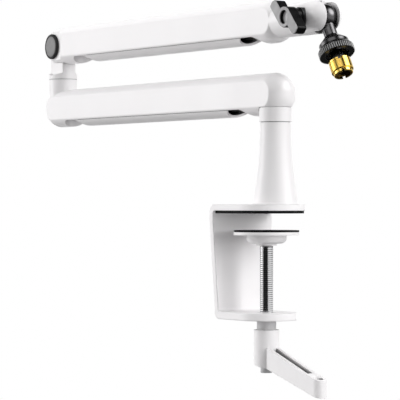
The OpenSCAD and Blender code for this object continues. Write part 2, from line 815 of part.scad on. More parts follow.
module lower_magnets() color(STEEL) at_lower() cover_magnets(lower_x0 + exit_gap, lower_x1 - exit_gap);

module elbow_washer() color(GREY) at_elbow() ring_z(stub_r, spindle_r + 0.3, neck_z, washer_t);

module elbow_neck() color(WHITE) at_elbow() {
    base_z = neck_z + washer_t;
    difference() {
        union() {
            translate([0, 0, base_z]) cylinder(r = neck_r, h = mid_z - base_z);
            intersection() {
                translate([0, 0, mid_z]) rod_y(neck_r, -neck_r, neck_r);
                translate([0, 0, base_z]) cylinder(r = neck_r, h = BIG);
            }
        }
        for (s = [-1, 1]) translate([0, 0, mid_z])
            rod_y(shoulder_r, s > 0 ? tongue_t / 2 : -neck_r - 1, s > 0 ? neck_r + 1 : -tongue_t / 2);
        translate([0, 0, mid_z]) rod_y(tilt_r + run_gap, -BIG / 2, BIG / 2);
        translate([0, 0, base_z - 1]) cylinder(r = spindle_r, h = neck_bolt_in + 1);
    }
}
neck_bolt_in = 14;

module neck_bolt() color(STEEL) at_elbow() {
    low = lower_axis_z - nut_floor + 0.5;
    translate([0, 0, low]) cylinder(r = spindle_r, h = neck_z + washer_t + neck_bolt_in - low);
}

module neck_nut() color(STEEL) at_elbow() at_lower() translate([0, 0, -channel_top - nut_gap - nut_t]) difference() {
    cylinder(r = nut_r, h = nut_t, $fn = 6);
    translate([0, 0, -1]) cylinder(r = spindle_r, h = nut_t + 2);
}

module tilt_washers() color(RUBBER) at_elbow() translate([0, 0, mid_z])
    for (y = [tongue_t / 2, -tongue_t / 2 - friction_t]) difference() {
        rod_y(neck_r - 1.5, y, y + friction_t);
        rod_y(tilt_r + 0.3, y - 1, y + friction_t + 1);
    }

// The fork's slot, wide enough for the tongue at every tilt; x is X and y is Z about the tilt axis
module tongue_sweep() {
    r = neck_r + tongue_gap;
    circle(r = r);
    polygon([
        [r, 0], [r, -BIG / 2], [-BIG / 2, -BIG / 2],
        [-BIG / 2 * sin(tilt_max) - r * cos(tilt_max), -BIG / 2 * cos(tilt_max) + r * sin(tilt_max)],
        [-r * cos(tilt_max), r * sin(tilt_max)]
    ]);
}

module elbow_fork() color(WHITE) at_upper() at_elbow() difference() {
    casting_body(upper_elbow_reach);
    cable_room(upper_elbow_reach, 0);
    tenon_bore(upper_elbow_reach);
    translate([0, 0, mid_z - upper_axis_z]) {
        along_y(-fork_half_slot, fork_half_slot) tongue_sweep();
        translate([-BIG / 2, -fork_half_slot, 0]) cube([BIG / 2 + slot_top_x, 2 * fork_half_slot, BIG]);
        rod_y(tilt_r, -BIG / 2, BIG / 2);
        for (y = [-BIG / 2, cap_seat]) along_y(y, y + BIG / 2 - cap_seat) {
            translate([cap_flat_x, 0]) circle(r = cap_flat_r);
            translate([-BIG / 2, -cap_flat_r]) square([BIG / 2 + cap_flat_x, 2 * cap_flat_r]);
        }
    }
}

module tilt_bolt() color(STEEL) at_elbow() translate([0, 0, mid_z]) difference() {
    union() {
        rod_y(tilt_r, -cap_seat, cap_seat);
        rod_y(bolt_head_r, cap_seat, cap_seat + bolt_head_t);
    }
    rotate([-90, 0, 0]) translate([0, 0, cap_seat]) cylinder(r = 2.3, h = BIG, $fn = 6);
}

module cap_ring() color(BLACK) at_elbow() translate([0, 0, mid_z]) difference() {
    rotate([90, 0, 0]) rotate_extrude() polygon([
        [0, cap_seat], [cap_r, cap_seat], [cap_r, cap_seat + cap_t - cap_edge],
        [cap_r - cap_edge, cap_seat + cap_t], [0, cap_seat + cap_t]
    ]);
    rod_y(cap_r - cap_rim, -cap_seat - cap_t - 1, -cap_seat - cap_t / 2);
}

module cap_disc() color(GREY) at_elbow() translate([0, 0, mid_z])
    rod_y(cap_r - cap_rim, -cap_seat - cap_t + 0.15, -cap_seat - cap_t / 2);

module upper_channel() color(WHITE) at_upper() channel(upper_x0, upper_x1);

module upper_keepers() color(STEEL) at_upper() keepers(upper_x0 + exit_gap, upper_x1 - exit_gap);

module upper_screws() color(STEEL) at_upper() tenon_screws(upper_x0, upper_x1);

module upper_cover() color(WHITE) at_upper() cover(upper_x0 + exit_gap, upper_x1 - exit_gap);

module upper_magnets() color(STEEL) at_upper() cover_magnets(upper_x0 + exit_gap, upper_x1 - exit_gap);

module mic_head() color(WHITE) difference() {
    union() {
        at_upper() mirror([1, 0, 0]) difference() {
            casting_body(upper_head_reach);
            cable_room(upper_head_reach, 0);
            tenon_bore(upper_head_reach);
        }
        translate([0, 0, mid_z]) rotate([0, 90, 0]) rotate_extrude() {
            translate([0, barrel_start]) square([barrel_r, ball_x - barrel_start]);
            intersection() {
                translate([0, ball_x]) circle(r = barrel_r);
                translate([0, barrel_start]) square(BIG);
            }
        }
    }
    translate([ball_x, 0, mid_z]) {
        sphere(r = ball_r + ball_gap);
        translate([-slot_back, -slot_w / 2, -BIG / 2]) cube([BIG, slot_w, BIG]);
        translate([-stud_back - kerf_back, -kerf_w / 2, -BIG / 2]) cube([BIG, kerf_w, BIG]);
    }
    translate([stud_x, 0, stud_z]) {
        rod_y(stud_r + run_gap, -BIG / 2, pad_face - 4);
        rod_y(knob_washer_r + 0.3, -BIG / 2, -pad_face);
    }
}

// Outline of the wing knob, x is X and y is Z about its axis
module wing_plan(inset) {
    top = knob_hub_r - inset;
    mid = knob_hub_r - wing_tip_r;
    tip_r = wing_tip_r - inset;
    corner_r = wing_corner_r - inset;
    corner_x = wing_reach + wing_corner_out;
    corner_y = knob_hub_r - wing_corner_r;
    circle(r = top);
    for (turn = [0, 180]) rotate(turn - wing_fall) {
        translate([0, mid - tip_r]) square([wing_reach, 2 * tip_r]);
        translate([wing_reach, mid]) circle(r = tip_r);
        translate([wing_reach - 1, corner_y]) square([wing_corner_out + 1, corner_r]);
        translate([corner_x, corner_y]) circle(r = corner_r);
        polygon([
            [wing_reach, mid], [wing_reach + tip_r * 0.94, mid + tip_r * 0.34],
            [corner_x + corner_r * 0.94, corner_y - corner_r * 0.34], [corner_x, corner_y], [wing_reach, corner_y]
        ]);
    }
}

module at_stud() {
    translate([stud_x, 0, stud_z]) children();
}

module wing_knob() color(BLACK) at_stud() difference() {
    union() {
        along_y(-wing_front, -wing_back) wing_plan(0);
        rod_y(knob_boss_r, -wing_back - 1, -boss_back);
    }
    rod_y(recess_r, -BIG / 2, -wing_front + recess_depth);
    rod_y(knob_screw_r, -BIG / 2, -wing_front + recess_depth + knob_screw_t);
    rod_y(stud_r + run_gap, -BIG / 2, 0);
}

module knob_face() color(STEEL) at_stud() difference() {
    along_y(-face_front, -wing_front) wing_plan(0.3);
    rod_y(recess_r, -BIG / 2, BIG / 2);
}

module knob_screw() color(STEEL) at_stud()
    rod_y(knob_screw_r, -wing_front + recess_depth, -wing_front + recess_depth + knob_screw_t);

module clamp_stud() color(STEEL) at_stud() rod_y(stud_r, -wing_front + recess_depth + knob_screw_t, pad_face - 4);

module knob_washer() color(BLACK) at_stud() difference() {
    rod_y(knob_washer_r, -boss_back, -pad_face);
    rod_y(stud_r + run_gap, -BIG / 2, BIG / 2);
}

module ball() color(BLACK) at_ball() difference() {
    sphere(r = ball_r);
    translate([0, 0, -BIG]) cylinder(r = ball_pin_r + run_gap, h = BIG + ball_r / 2);
    // Centre holes that the ball was turned on, at both ends of its swing axis
    for (s = [-1, 1]) rod_y(ball_centre_r, s > 0 ? ball_r - ball_centre_depth : -BIG, s > 0 ? BIG : -ball_r + ball_centre_depth);
}
ball_pin_r = 3.5;

module ball_stem() color(BLACK) at_ball() {
    neck = sqrt(pow(ball_r, 2) - pow(stem_r, 2)) + 0.3;
    translate([0, 0, -stem_len]) cylinder(r = stem_r, h = stem_len - neck - 0.4);
    translate([0, 0, -neck - 0.5]) cylinder(r = ball_pin_r, h = neck + 0.5 + ball_r / 2 - 0.3);
    translate([0, 0, -stem_end]) cylinder(r = thread_r, h = stem_end - stem_len + 1);
}

module lock_wheel() color(BLACK) at_ball() {
    shoulder = wheel_r - wheel_collar_r + 0.4;
    cone_h = wheel_collar_r - wheel_face_r;
    edge = 0.3;
    rotate_extrude() difference() {
        polygon([
            [0, -wheel_end], [wheel_r - edge, -wheel_end], [wheel_r, -wheel_end + edge],
            [wheel_r, -wheel_end + rib_h], [wheel_collar_r, -wheel_end + rib_h + shoulder],
            [wheel_collar_r, -stem_len - cone_h], [wheel_face_r, -stem_len], [0, -stem_len]
        ]);
        translate([-1, -BIG]) square([thread_r + wheel_gap + 1, BIG]);
        translate([0, -wheel_end - 1]) square([wheel_hollow_r, wheel_hollow_h + 1]);
    }
}

module thread_adapter() color(BRASS) at_ball() {
    end = adapter_at + adapter_len;
    slot_h = adapter_slot_h;
    chamfer = 0.3;
    bore_r = thread_r + run_gap;
    difference() {
        rotate_extrude() polygon([
            [adapter_sink_r, -end], [adapter_nose_r - chamfer, -end], [adapter_nose_r, -end + chamfer],
            [adapter_nose_r, -end + adapter_nose], [adapter_r - chamfer, -end + adapter_nose],
            [adapter_r, -end + adapter_nose + chamfer], [adapter_r, -adapter_at - chamfer],
            [adapter_r - chamfer, -adapter_at], [bore_r, -adapter_at], [bore_r, -adapter_step],
            [adapter_open_r, -adapter_step], [adapter_open_r, -end + slot_h], [adapter_sink_r, -end + slot_h]
        ]);
        for (a = [0, 90]) rotate(a + adapter_turn) {
            translate([-BIG / 2, -adapter_slot / 2, -end - 1]) cube([BIG, adapter_slot, slot_h + 1]);
        }
        rotate(adapter_turn) translate([-BIG / 2, -adapter_slot / 2, -adapter_at - slot_h]) cube([BIG, adapter_slot, slot_h + 1]);
    }
}
// Turn of the adapter's slots about the stem, in degrees
adapter_turn = 36;

clamp_frame();
top_pad();
riser_post();
post_screws();
upper_bush();
lower_bush();
screw_bush();
pressure_plate();
pressure_pad();
clamp_screw();
nose_ring();
crank_handle();
crank_grub();
base_collar();
base_joint();
base_spindle();
spindle_clip();
swivel_washer();
lower_channel();
lower_keepers();
elbow_socket();
elbow_bush();
lower_screws();
lower_cover();
lower_magnets();
elbow_neck();
neck_bolt();
neck_nut();
elbow_washer();
tilt_washers();
elbow_fork();
tilt_bolt();
cap_ring();
cap_disc();
upper_channel();
upper_keepers();
upper_screws();
upper_cover();
upper_magnets();
mic_head();
wing_knob();
knob_face();
knob_screw();
clamp_stud();
knob_washer();
ball();
ball_stem();
lock_wheel();
thread_adapter();
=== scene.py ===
import math
from collections import namedtuple

import bmesh
import bpy
from mathutils import Matrix, Vector


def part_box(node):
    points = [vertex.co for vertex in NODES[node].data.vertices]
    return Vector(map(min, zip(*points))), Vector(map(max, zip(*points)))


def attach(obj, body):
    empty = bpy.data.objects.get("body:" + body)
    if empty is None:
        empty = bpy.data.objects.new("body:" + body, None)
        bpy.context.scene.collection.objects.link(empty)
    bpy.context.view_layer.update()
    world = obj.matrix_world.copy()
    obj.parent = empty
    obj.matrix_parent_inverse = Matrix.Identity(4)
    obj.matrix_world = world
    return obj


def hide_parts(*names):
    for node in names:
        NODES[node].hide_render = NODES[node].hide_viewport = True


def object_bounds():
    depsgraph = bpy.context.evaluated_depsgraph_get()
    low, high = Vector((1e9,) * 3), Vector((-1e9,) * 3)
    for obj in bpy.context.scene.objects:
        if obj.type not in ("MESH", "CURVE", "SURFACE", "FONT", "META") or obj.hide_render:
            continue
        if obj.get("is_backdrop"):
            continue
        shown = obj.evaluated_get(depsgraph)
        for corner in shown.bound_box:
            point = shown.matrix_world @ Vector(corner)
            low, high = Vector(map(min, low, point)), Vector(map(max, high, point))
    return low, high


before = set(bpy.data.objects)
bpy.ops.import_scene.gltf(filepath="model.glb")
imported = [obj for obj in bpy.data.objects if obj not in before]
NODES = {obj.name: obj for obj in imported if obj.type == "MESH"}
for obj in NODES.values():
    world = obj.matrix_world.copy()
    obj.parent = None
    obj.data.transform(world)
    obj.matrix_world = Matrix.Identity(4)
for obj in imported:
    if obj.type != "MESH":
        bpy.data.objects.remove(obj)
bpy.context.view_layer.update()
SCENE = bpy.context.scene

# ---------------------------------------------------------------- camera
# Level, at the photograph's distance and angle
CAMERA_AT = Vector((1.3971, -0.9381, 0.0098))
CAMERA_DIRECTION = Vector((-0.848, 0.530, 0.0)).normalized()
CAMERA_LENS = 207.4
CAMERA_SENSOR = 36.0
CAMERA_CLIP = (0.05, 60.0)

camera_data = bpy.data.cameras.new("camera")
camera_data.lens = CAMERA_LENS
camera_data.sensor_width = CAMERA_SENSOR
camera_data.clip_start, camera_data.clip_end = CAMERA_CLIP
camera = bpy.data.objects.new("camera", camera_data)
camera.location = CAMERA_AT
camera.rotation_mode = "QUATERNION"
camera.rotation_quaternion = CAMERA_DIRECTION.to_track_quat("-Z", "Y")
SCENE.collection.objects.link(camera)
SCENE.camera = camera

SCENE.view_settings.view_transform = "Standard"

# ---------------------------------------------------------------- places and directions
# In metres, in the part's frame at rest
MM = 0.001
INCH = 0.0254

X = Vector((1.0, 0.0, 0.0))
Y = Vector((0.0, 1.0, 0.0))
UP = Vector((0.0, 0.0, 1.0))

SCREW_AXIS_AT = Vector((-0.0117, 0.0, 0.0))
BALL = Vector((0.0626, 0.0, 0.1395))
STEM_ANGLE = math.radians(28.8)  # from straight down
STEM_DIRECTION = Vector((math.sin(STEM_ANGLE), 0.0, -math.cos(STEM_ANGLE)))


# ---------------------------------------------------------------- node trees
class Graph:
    """Short calls for the nodes of one node tree. A value is a constant or the output of a node."""

    def __init__(self, tree):
        self.nodes = tree.nodes
        self.links = tree.links

    def feed(self, socket, value):
        """Links an output to the socket, or sets the socket itself to a constant."""
        if isinstance(value, bpy.types.NodeSocket):
            self.links.new(value, socket)
        else:
            socket.default_value = value

    def node(self, kind, **inputs):
        """A new node with its inputs fed by name. In a name an underscore stands for a space."""
        new = self.nodes.new("ShaderNode" + kind)
        for name, value in inputs.items():
            self.feed(new.inputs[name.replace("_", " ")], value)
        return new

    def calculate(self, kind, operation, values):
        new = self.nodes.new(kind)
        new.operation = operation
        for socket, value in zip(new.inputs, values):
            self.feed(socket, value)
        return new

    def math(self, operation, *values):
        return self.calculate("ShaderNodeMath", operation, values).outputs[0]

    def vector(self, operation, *values):
        """A vector from vectors, or a number if operation is LENGTH or DOT_PRODUCT."""
        outputs = self.calculate("ShaderNodeVectorMath", operation, values).outputs
        return outputs["Value" if operation in ("LENGTH", "DOT_PRODUCT") else "Vector"]

    def chain(self, operation, first, *rest):
        """All values under one operation, from the left."""
        for value in rest:
            first = self.math(operation, first, value)
        return first

    def total(self, *values):
        return self.chain("ADD", *values)

    def product(self, *values):
        return self.chain("MULTIPLY", *values)

    def inverse(self, value):
        return self.math("SUBTRACT", 1.0, value)

    def ramp(self, value, span, low=0.0, high=1.0, soft=False):
        """From low to high as value crosses span, and level outside it. soft: without corners."""
        start, end = span
        new = self.node("MapRange", Value=value, From_Min=start, From_Max=end, To_Min=low, To_Max=high)
        if soft:
            new.interpolation_type = "SMOOTHSTEP"
        return new.outputs["Result"]

    def fade(self, value, span, low=0.0, high=1.0):
        return self.ramp(value, span, low, high, soft=True)

    def choose(self, factor, off, on):
        """The shader off where factor is 0, and the shader on where it is 1."""
        new = self.nodes.new("ShaderNodeMixShader")
        for socket, value in zip(new.inputs, (factor, off, on)):
            self.feed(socket, value)
        return new.outputs[0]

    def diffuse(self, level):
        return self.node("BsdfDiffuse", Color=(level, level, level, 1.0)).outputs[0]


# ---------------------------------------------------------------- materials
NOISE_SPAN = (0.35, 0.65)  # where nearly all of a noise's values are
BEVEL_SAMPLES = 6

# Painted shade in hollows: ambient occlusion darkens the paint's colour there. How far the shading looks for
# walls, how open a place is where the painted shade goes from dark to plain, and the dark
PAINTED_HOLLOW_SHADE_REACH = 0.018
PAINTED_HOLLOW_SHADE_SPAN = (0.19, 0.47)
PAINTED_HOLLOW_SHADE_COLOUR = (0.010, 0.010, 0.010)
PAINTED_HOLLOW_SHADE_SAMPLES = 8

# The clamp screw's plain lower end: the height where the thread gives way to it, over what height it does, how
# much less metallic it is, and how much rougher
PLAIN_TOP = -0.1116
PLAIN_EDGE = 0.0003
PLAIN_LESS_METALLIC = 0.7
PLAIN_ROUGHER = 0.35

Bump = namedtuple("Bump", "height strength depth")


class Surface(Graph):
    """A material whose Principled shader works in the coordinates of its object."""

    def __init__(self, name, **constants):
        self.material = bpy.data.materials.new(name)
        self.material.use_nodes = True
        super().__init__(self.material.node_tree)
        self.shader = self.nodes["Principled BSDF"]
        self.place = self.node("TexCoord").outputs["Object"]
        self.set(**constants)

    def set(self, **inputs):
        """Feeds inputs of the shader by name."""
        for name, value in inputs.items():
            self.feed(self.shader.inputs[name.replace("_", " ")], value)

    def noise(self, scale, detail, stretch=None):
        vector = self.place
        if stretch:
            vector = self.node("Mapping", Vector=vector, Scale=stretch).outputs["Vector"]
        return self.node("TexNoise", Vector=vector, Scale=scale, Detail=detail).outputs["Fac"]

    def vary(self, scale, detail, low=0.0, high=1.0):
        """A noise between low and high."""
        return self.ramp(self.noise(scale, detail), NOISE_SPAN, low, high)

    def mix(self, factor, a, b):
        """Colour a where factor is 0, and b where it is 1."""
        new = self.nodes.new("ShaderNodeMix")
        new.data_type = "RGBA"
        self.feed(new.inputs["Factor"], factor)
        for name, colour in (("A", a), ("B", b)):
            self.feed(new.inputs[name], (*colour, 1.0) if isinstance(colour, tuple) else colour)
        return new.outputs["Result"]

    def mottle(self, colour, tint, scale, detail):
        """The colour, varied down to tint times itself."""
        return self.mix(self.vary(scale, detail), tuple(part * tint for part in colour), colour)

    def grain(self, scale, detail, strength, depth):
        return Bump(self.noise(scale, detail), strength, depth)

    def relief(self, bumps, edge=None):
        """Lays the bumps on each other. edge: the radius of the edges, softened in the shading only."""
        normal = None
        if edge:
            bevel = self.node("Bevel", Radius=edge)
            bevel.samples = BEVEL_SAMPLES
            normal = bevel.outputs["Normal"]
        for bump in bumps:
            layer = self.node("Bump", Height=bump.height, Strength=bump.strength, Distance=bump.depth)
            if normal:
                self.feed(layer.inputs["Normal"], normal)
            normal = layer.outputs["Normal"]
        self.set(Normal=normal)

    def height(self):
        """How high a place on the surface is, in metres."""
        return self.node("SeparateXYZ", Vector=self.place).outputs["Z"]

    def from_axis(self, point, direction):
        """How far a place on the surface is from the axis through point along direction, in metres."""
        away = self.vector("SUBTRACT", self.place, point)
        return self.vector("LENGTH", self.vector("CROSS_PRODUCT", away, direction))


def paint(name, light, dark, edge, shine=0.5, coat=0.12, painted_hollow_shade=True):
    """Satin white paint: faint orange peel, a gloss that varies slowly, and painted shade deep in hollows, where
    ambient occlusion darkens the colour.
    """
    s = Surface(name, Specular_IOR_Level=shine, Coat_Weight=coat, Coat_Roughness=0.22)
    colour = s.mix(s.vary(scale=14.0, detail=3.0), dark, light)
    if painted_hollow_shade:
        # Painted shade: ambient occlusion darkens the colour in hollows
        shade = s.node("AmbientOcclusion", Distance=PAINTED_HOLLOW_SHADE_REACH)
        shade.samples = PAINTED_HOLLOW_SHADE_SAMPLES
        colour = s.mix(s.ramp(shade.outputs["AO"], PAINTED_HOLLOW_SHADE_SPAN), PAINTED_HOLLOW_SHADE_COLOUR, colour)
    s.set(Base_Color=colour, Roughness=s.vary(scale=45.0, detail=3.0, low=0.30, high=0.40))
    peel = s.grain(scale=1400.0, detail=2.0, strength=0.10, depth=0.00006)
    dust = s.grain(scale=5200.0, detail=1.0, strength=0.08, depth=0.00003)
    s.relief([peel, dust], edge)
    return s.material


def plastic(name, colour, rough, grain, edge, shine=0.5):
    """Moulded plastic: a faint mottle, and a fine grain."""
    s = Surface(name, Specular_IOR_Level=shine)
    s.set(Base_Color=s.mottle(colour, tint=0.82, scale=60.0, detail=3.0),
          Roughness=s.vary(scale=300.0, detail=3.0, low=rough * 0.85, high=rough * 1.2))
    s.relief([s.grain(scale=grain, detail=2.0, strength=0.12, depth=0.00005)], edge)
    return s.material


def rubber(name, colour, dusty, edge):
    """Matt rubber: a coarse grain, and patches that are a little dusty."""
    s = Surface(name, Specular_IOR_Level=0.12)
    s.set(Base_Color=s.mix(s.vary(scale=180.0, detail=4.0), colour, dusty),
          Roughness=s.vary(scale=500.0, detail=3.0, low=0.65, high=0.85))
    s.relief([s.grain(scale=2600.0, detail=2.0, strength=0.4, depth=0.0001)], edge)
    return s.material


def metal(name, colour, rough, stretch, edge, metallic=1.0):
    """Machined metal: a little tint, and fine lines around Z. stretch: how many times finer they are along Z."""
    s = Surface(name, Metallic=metallic)
    lines = s.noise(scale=700.0, detail=4.0, stretch=(1.0, 1.0, stretch))
    s.set(Base_Color=s.mottle(colour, tint=0.86, scale=90.0, detail=4.0),
          Roughness=s.ramp(lines, NOISE_SPAN, rough * 0.8, rough * 1.3))
    s.relief([Bump(lines, strength=0.10, depth=0.00004)], edge)
    return s.material


def threaded(name, steel, painted_groove_shade, rough, groove, crest):
    """Rolled steel thread about the clamp screw's axis: near-black painted shade in its grooves, up to radius
    groove, and steel from radius crest. The plain end below it is duller.
    """
    s = Surface(name)
    plain = s.ramp(s.height(), (PLAIN_TOP, PLAIN_TOP + PLAIN_EDGE), 1.0, 0.0)
    high = s.ramp(s.from_axis(SCREW_AXIS_AT, UP), (groove, crest))
    uneven = s.vary(scale=700.0, detail=3.0, low=rough * 0.8, high=rough * 1.3)
    # Painted shade: the grooves get a near-black colour
    s.set(Base_Color=s.mix(s.math("MAXIMUM", high, plain), painted_groove_shade, steel),
          Metallic=s.inverse(s.product(plain, PLAIN_LESS_METALLIC)),
          Roughness=s.total(uneven, s.product(plain, PLAIN_ROUGHER)))
    s.relief([s.grain(scale=2200.0, detail=2.0, strength=0.02, depth=0.00001)])
    return s.material


def plated(name, colour, rough, grain, edge, painted_crest_highlight=None):
    """Black plated metal: it shows only what is bright around it, with a faint grain.

    painted_crest_highlight: a brighter colour painted on the rib crests as a painted highlight, and the radii
    from the stem's axis between which it comes in.
    """
    s = Surface(name, Metallic=1.0)
    coat = s.mottle(colour, tint=0.85, scale=60.0, detail=3.0)
    if painted_crest_highlight:
        crest_highlight_colour, span = painted_crest_highlight
        # Painted highlight: the crests get a brighter colour
        coat = s.mix(s.ramp(s.from_axis(BALL, STEM_DIRECTION), span), coat, crest_highlight_colour)
    s.set(Base_Color=coat, Roughness=s.vary(scale=300.0, detail=3.0, low=rough * 0.85, high=rough * 1.2))
    s.relief([s.grain(scale=grain, detail=2.0, strength=0.03, depth=0.00001)], edge)
    return s.material


def gilt(name, brass, painted_bore_shade, rough, bore, edge):
    """Polished brass, darkened inside its bore by painted shade. bore: the radii from the stem's axis where that
    painted shade ends.
    """
    s = Surface(name, Metallic=1.0)
    outside = s.ramp(s.from_axis(BALL, STEM_DIRECTION), bore)
    s.set(Base_Color=s.mix(outside, painted_bore_shade, s.mottle(brass, tint=0.94, scale=90.0, detail=4.0)),
          Roughness=s.vary(scale=400.0, detail=3.0, low=rough * 0.8, high=rough * 1.3))
    s.relief([s.grain(scale=900.0, detail=3.0, strength=0.05, depth=0.00002)], edge)
    return s.material


WHITE = paint("white_paint", light=(0.908, 0.892, 0.900), dark=(0.892, 0.877, 0.885), edge=0.0005)
FRAME_WHITE = paint("white_paint_frame", light=(0.935, 0.919, 0.927), dark=(0.919, 0.904, 0.912), edge=0.0014,
                    shine=0.2, coat=0.0, painted_hollow_shade=False)
SMOOTH_WHITE = paint("white_paint_turned", light=(0.896, 0.881, 0.888), dark=(0.880, 0.866, 0.874), edge=0.0005,
                     painted_hollow_shade=False)
# A darker copy of the white paint for the upper cover: painted shade
SHADED_COVER_WHITE = paint("white_paint_cover_painted_shade", light=(0.800, 0.786, 0.793), dark=(0.785, 0.772, 0.779), edge=0.0005)
RUBBER = rubber("black_rubber", (0.005, 0.005, 0.005), dusty=(0.012, 0.012, 0.013), edge=0.0003)
STEEL = metal("zinc_steel", (0.64, 0.65, 0.67), rough=0.24, stretch=14.0, edge=0.0002)
# Near-black painted shade in the thread's grooves
THREAD = threaded("threaded_steel", steel=(0.74, 0.74, 0.75), painted_groove_shade=(0.006, 0.006, 0.0063), rough=0.13,
                  groove=0.0047, crest=0.0049)
BUSH = metal("grey_steel", (0.80, 0.79, 0.80), rough=0.60, stretch=14.0, edge=0.0003, metallic=0.15)
BRONZE = metal("bronze", (0.55, 0.38, 0.19), rough=0.42, stretch=10.0, edge=0.0002)
GREY = plastic("grey_nylon", (0.42, 0.42, 0.43), rough=0.5, grain=2400.0, edge=0.0002)
MATT = plastic("matt_black", (0.012, 0.012, 0.013), rough=0.55, grain=2400.0, edge=0.0002)
GLOSS = plated("gloss_black", (0.140, 0.137, 0.141), rough=0.25, grain=1600.0, edge=0.0005)
KNOB = plastic("knob_black", (0.004, 0.004, 0.0042), rough=0.30, grain=1600.0, edge=0.0005, shine=0.12)
# Its rib crests are painted brighter than the grooves: a painted highlight
WHEEL = plated("wheel_black", (0.110, 0.108, 0.111), rough=0.20, grain=2600.0, edge=0.0002,
               painted_crest_highlight=((0.17, 0.17, 0.17), (0.01245, 0.01285)))
DISC = plastic("disc_grey", (0.215, 0.212, 0.215), rough=0.42, grain=2600.0, edge=0.0004)
SILVER = plastic("knob_silver", (0.38, 0.375, 0.38), rough=0.45, grain=3200.0, edge=0.0003)
# Lighter than the knob's face, to make up for the shade of the recess the screw sits in: painted light
LIT_SCREW_FACE = plastic("knob_screw_face_painted_light", (0.56, 0.555, 0.56), rough=0.40, grain=2000.0, edge=0.0003)
# Dark brown painted shade inside the adapter's bore
BRASS = gilt("gilt_brass", (0.98, 0.68, 0.16), painted_bore_shade=(0.08, 0.05, 0.02), rough=0.11, bore=(0.0051, 0.0054),
             edge=0.0001)


def dress(material, *names):
    """Gives CAD nodes one of the scene's materials."""
    for name in names:
        mesh = NODES[name].data
        mesh.materials.clear()
        mesh.materials.append(material)


dress(FRAME_WHITE, "clamp_frame")
dress(SMOOTH_WHITE, "riser_post", "pressure_plate", "base_collar", "elbow_neck")
dress(WHITE, "crank_handle", "base_joint", "lower_channel", "elbow_socket", "lower_cover", "elbow_fork",
      "upper_channel", "mic_head")
dress(SHADED_COVER_WHITE, "upper_cover")
dress(RUBBER, "top_pad", "pressure_pad")
dress(STEEL, "post_screws", "clamp_screw", "nose_ring", "crank_grub", "base_spindle", "spindle_clip",
      "lower_screws", "upper_screws", "neck_bolt", "neck_nut", "tilt_bolt", "clamp_stud", "lower_keepers",
      "upper_keepers", "lower_magnets", "upper_magnets")
dress(BUSH, "screw_bush")
dress(BRONZE, "upper_bush", "lower_bush", "elbow_bush")
dress(GREY, "swivel_washer", "elbow_washer")
dress(MATT, "tilt_washers", "knob_washer")
dress(GLOSS, "cap_ring", "ball", "ball_stem")
dress(KNOB, "wing_knob")
dress(DISC, "cap_disc")
dress(SILVER, "knob_face")
dress(LIT_SCREW_FACE, "knob_screw")
dress(WHEEL, "lock_wheel")
dress(BRASS, "thread_adapter")


# ---------------------------------------------------------------- mesh tools
# A part is a pair: its vertices and its faces
PARALLEL = 1e-6  # a cross product this short means that the two directions are parallel
MERGE_DISTANCE = 1e-7
SLIVER = 1e-8


def smooth(mesh, sharp):
    """Smooth shading. sharp: the angle in degrees from which an edge stays sharp."""
    for polygon in mesh.polygons:
        polygon.use_smooth = True
    mesh.set_sharp_from_angle(angle=math.radians(sharp))


def piece(name, part, material, body, sharp):
    """A new visible object from a part, which rides on a body."""
    verts, faces = part
    mesh = bpy.data.meshes.new(name)
    mesh.from_pydata([tuple(v) for v in verts], [], faces)
    mesh.validate()
    mesh.update()
    o = bpy.data.objects.new(name, mesh)
    SCENE.collection.objects.link(o)
    mesh.materials.append(material)
    smooth(mesh, sharp)
    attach(o, body)
    return o


def frame_on(origin, direction):
    """Matrix whose +Z runs along direction from origin."""
    z = direction.normalized()
    x = Y.cross(z)
    if x.length < PARALLEL:
        x = X.copy()
    x.normalize()
    m = Matrix((x, z.cross(x), z)).transposed().to_4x4()
    m.translation = origin
    return m


def placed(m, part):
    """The part moved by the matrix m."""
    verts, faces = part
    return [m @ Vector(v) for v in verts], faces


def join(*parts):
    """One part made of several."""
    verts, faces = [], []
    for part_verts, part_faces in parts:
        base = len(verts)
        verts += part_verts
        faces += [tuple(i + base for i in face) for face in part_faces]
    return verts, faces


def turned_inside_out(part):
    verts, faces = part
    return verts, [tuple(reversed(face)) for face in faces]


def ring_point(radius, j, around, z):
    """Point j of around on a circle about Z."""
    a = 2 * math.pi * j / around
    return radius * math.cos(a), radius * math.sin(a), z


def ring_faces(n, around, closed):
    """Faces between around profiles of n points each, set in a ring."""
    faces = []
    for j in range(around):
        k = (j + 1) % around
        for i in range(n if closed else n - 1):
            i2 = (i + 1) % n
            faces.append((j * n + i, k * n + i, k * n + i2, j * n + i2))
    return faces


def lathe(profile, around, closed=False):
    """A body of revolution about Z. profile: (radius, z) pairs."""
    verts = [ring_point(r, j, around, z) for j in range(around) for r, z in profile]
    return verts, ring_faces(len(profile), around, closed)


RUN_OUT = 0.9  # how fast a thread rises from its ends: radius over length
LEAD_TURNS = 2  # turns that a thread's rows begin before its start, so that each of them covers it


